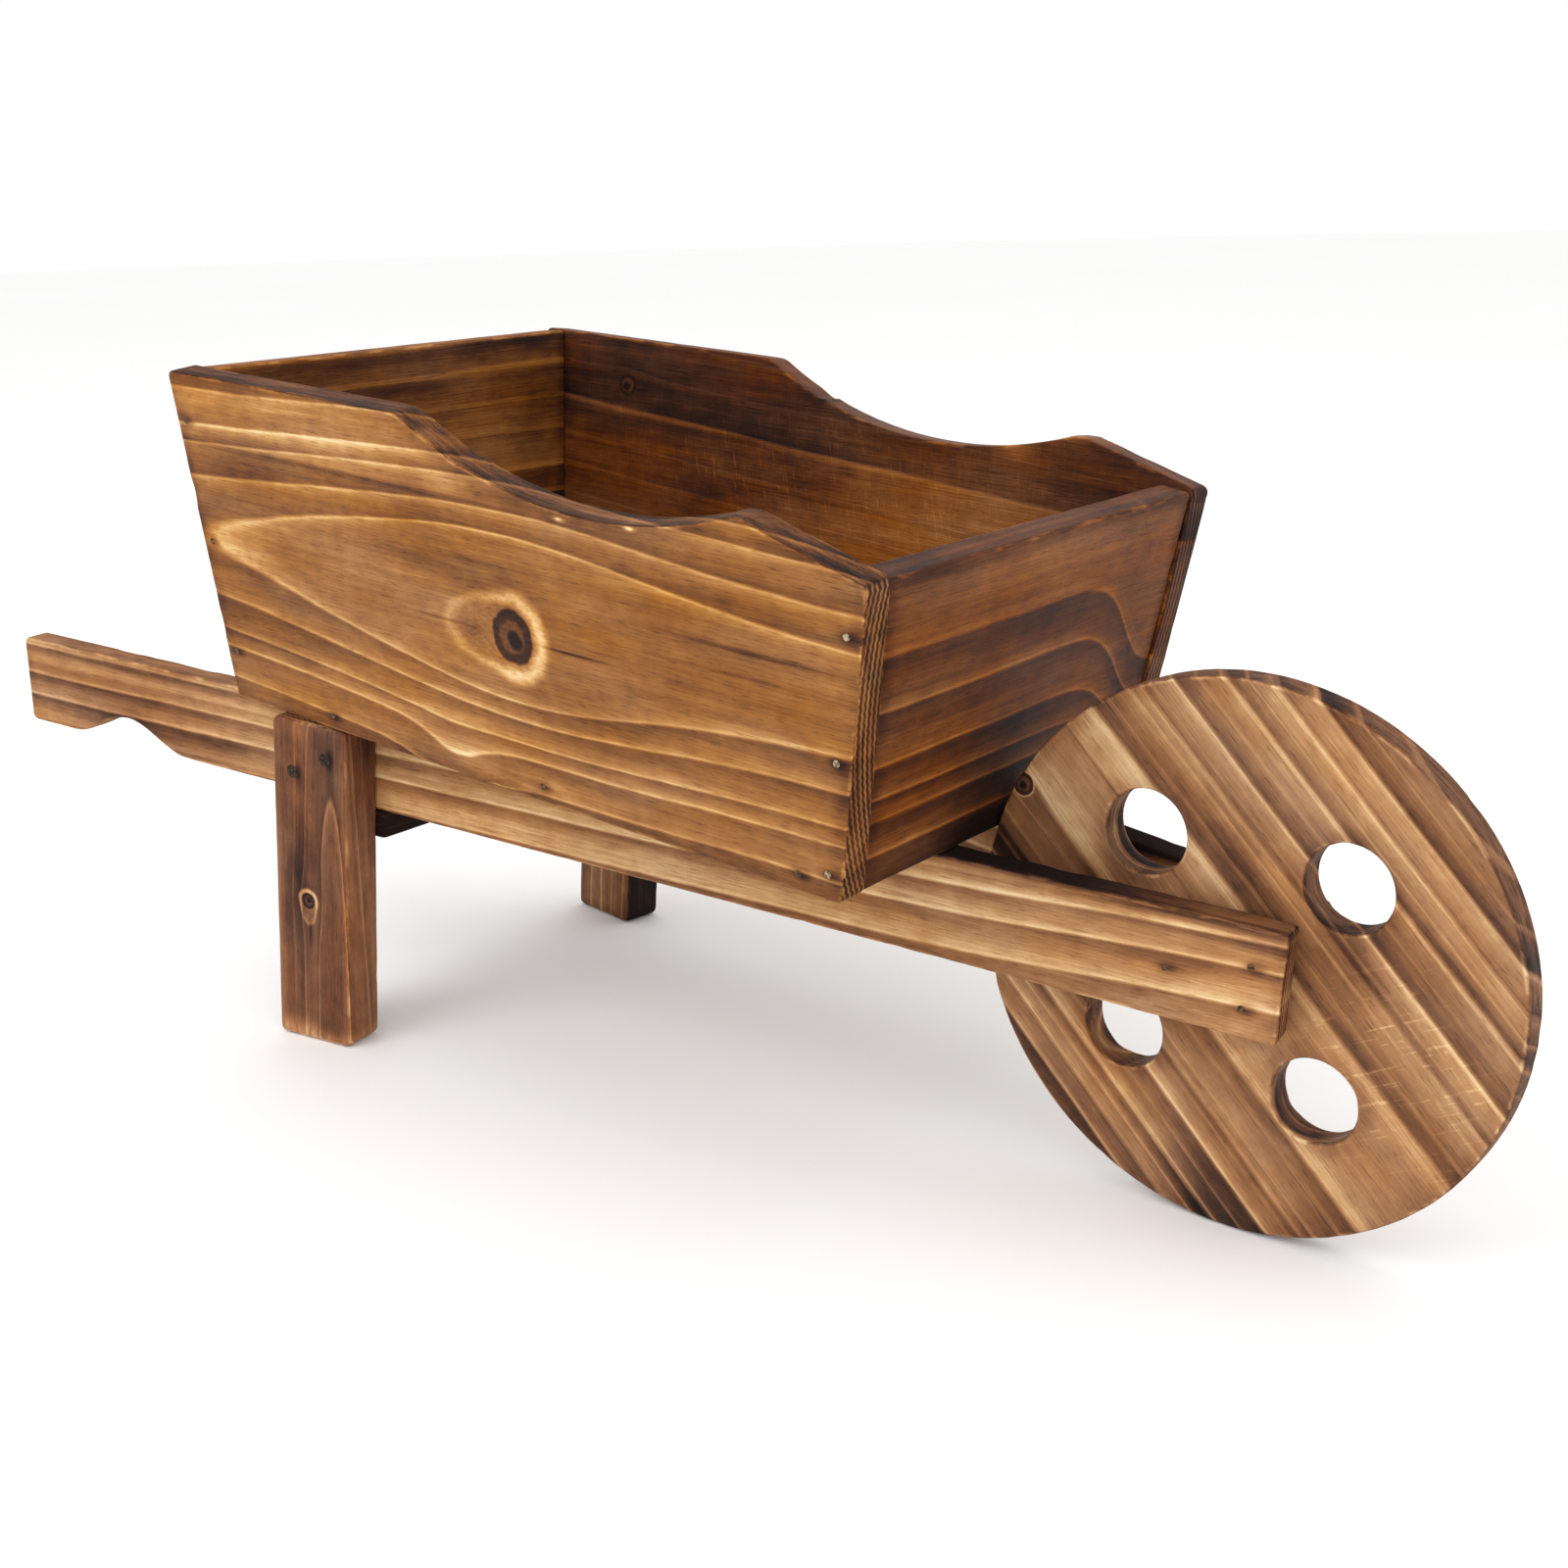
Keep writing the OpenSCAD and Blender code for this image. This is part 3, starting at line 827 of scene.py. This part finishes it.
def build_chassis():
    stripes = (
        (42.5, 0.22, 0.16, 5.0), (54.5, 0.26, 0.2, 4.5), (64.2, 0.26, 0.22, 6.0),
        (77.0, 0.24, 0.2, 8.0),
    )
    rail = dict(
        pith=(60, 0), pith_slope=(0.01, 0.0), ring=25, uneven=0.0, wander=1.2, band=0.04,
        line=0.0, variety=0.04, top_char=0.08, end_char=0.24, soft=5.0, rich=0.89, red=0.14,
        accents=stripes,
    )
    right = Look(
        seed=61.0, tone=0.77, saw=0.03, swells=((280, 0, 90, 60, -6),), **rail,
        burns_and_shade=(
            (-215, 0, 75, 30, 0.29), (196, 19.5, 70, 2.4, 0.95), (205, 4, 30, 4, 0.08),
            (200, -9, 40, 6, 0.08), (250, 14, 18, 5, -0.12), (150, 0, 16, 20, 0.06),
            (60, 8, 80, 10, 0.05),
        ),
    )
    board("rail_right", right, FORWARD, RIGHTWARD, corner=1.6, rounding=1.0,
          fasteners=["axle_nails_right"])
    left = Look(
        seed=67.0, tone=0.7, swells=((-280, 0, 90, 60, -6),), **rail,
        burns_and_shade=(
            # The first patch, at (-205, 0), is painted shade: it darkens the far rail where it
            # lies in shade behind the wheel and shows through the wheel's holes.
            (-205, 0, 34, 30, 0.34), (215, 0, 75, 30, 0.2), (-196, 19.5, 70, 2.4, 0.7),
        ),
    )
    board("rail_left", left, BACKWARD, LEFTWARD, corner=6.0, rounding=1.0,
          fasteners=["axle_nails_left"])
    leg = Look(
        seed=71.0, pith=(-11, 13.7), pith_slope=(0.0, 0.08), ring=7, uneven=0.3, wander=0.3,
        tone=0.38, band=0.05, line=0.03, variety=0.05, red=0.3, rich=0.88, top_char=-0.08,
        edge_char=-0.04, saw=0.05, fibre=0.24, end_char=0.0, soft=1.3,
        accents=((8.0, 0.24, 0.08, 1.2), (15.4, 0.2, 0.06, 3.0)),
        knots=((-6, 1.5, 3.4, 5.2),),
        burns_and_shade=(
            (-17, 1.0, 6, 1.0, 0.22), (-67, 0, 5.5, 40, -0.34), (-6, 1, 40, 16, 0.03),
            (10, 18, 70, 2, -0.12), (66, 4, 8, 3, -0.1), (0, -20, 70, 2.6, -0.14),
        ),
    )
    board("leg_right", leg, UPWARD, RIGHTWARD, corner=3.2, rounding=1.8,
          fasteners=["leg_screws_right"])
    far_leg = Look(
        seed=73.0, pith=(60, 0), ring=8, tone=0.49, band=0.12, line=0.14, rich=0.9,
        end_char=0.0,
    )
    board("leg_left", far_leg, UPWARD, LEFTWARD, corner=3.2, rounding=1.8,
          fasteners=["leg_screws_left"])
    brace = Look(seed=79.0, pith=(8, 60), ring=5.5, tone=0.34, line=0.1, red=0.25)
    board("cross_brace", brace, LEFTWARD, DOWNWARD)


def build_wheel():
    look = Look(
        seed=83.0, pith=(-3, 26), ring=6.5, wander=1.0, tone=0.63, band=0.06, line=0.05,
        variety=0.06, edge_char=0.08, top_char=0.2, end_char=0.14, burn=0.16, rich=0.86,
        saw=0.04, red=0.14, soft=6.5, end_line=0.3, fibre=0.24,
        accents=(
            (27.5, 0.24, 0.2, 8.0), (42.5, 0.16, 0.14, 3.0), (52.0, 0.26, 0.19, 6.5),
            (66.0, 0.23, 0.19, 4.0), (76.5, 0.21, 0.18, 1.3), (84.4, 0.22, 0.22, 8.0),
        ),
        knots=((-86, -24, 4.0, 4.4),),
        burns_and_shade=(
            (-66, 9, 30, 9, -0.2), (-60, -14, 30, 6, -0.1), (-72, -46, 20, 10, 0.4),
            (62, -62, 22, 13, 0.42), (82, -34, 12, 10, 0.2), (20, -80, 40, 8, 0.12),
            # The patch at (-44, -14) on the next line is painted shade on the wheel, along the
            # near rail's top edge.
            (-24, 24, 22, 6, 0.26), (20, 33, 14, 10, 0.22), (-44, -14, 12, 8, 0.28),
            (10, 80, 40, 4, 0.06), (60, 10, 30, 16, 0.04), (-58, 3, 34, 0.6, 0.2),
        ),
        scratches=(50, 24, 36, 30, 0.17),
    )
    board("wheel", look, WHEEL_GRAIN, RIGHTWARD, body="wheel")


def finish_cad_nodes():
    """Gives the dowel, nails and screws, which keep their CAD shapes, their materials."""
    bright = steel("nail_steel", colour(176, 160, 134), colour(84, 64, 46))
    rusty = steel("rusty_steel", colour(104, 78, 56), colour(46, 32, 24))
    screws = steel("screw_steel", colour(66, 48, 34), colour(30, 20, 15))
    dowel = turned_wood("dowel_wood")
    for name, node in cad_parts.items():
        if name.startswith("front_nails"):
            node.data.materials[0] = bright
        elif "nails" in name:
            node.data.materials[0] = rusty
        elif "screws" in name:
            node.data.materials[0] = screws
        elif name == "axle":
            node.data.materials[0] = dowel


def build():
    scene = bpy.context.scene
    scene.view_settings.view_transform = "Standard"
    add_camera()
    add_floor()
    add_world()
    for name, place, size, power in LAMPS:
        add_light(name, place, size, power)
    build_sides()
    build_ends()
    build_chassis()
    build_wheel()
    finish_cad_nodes()


build()
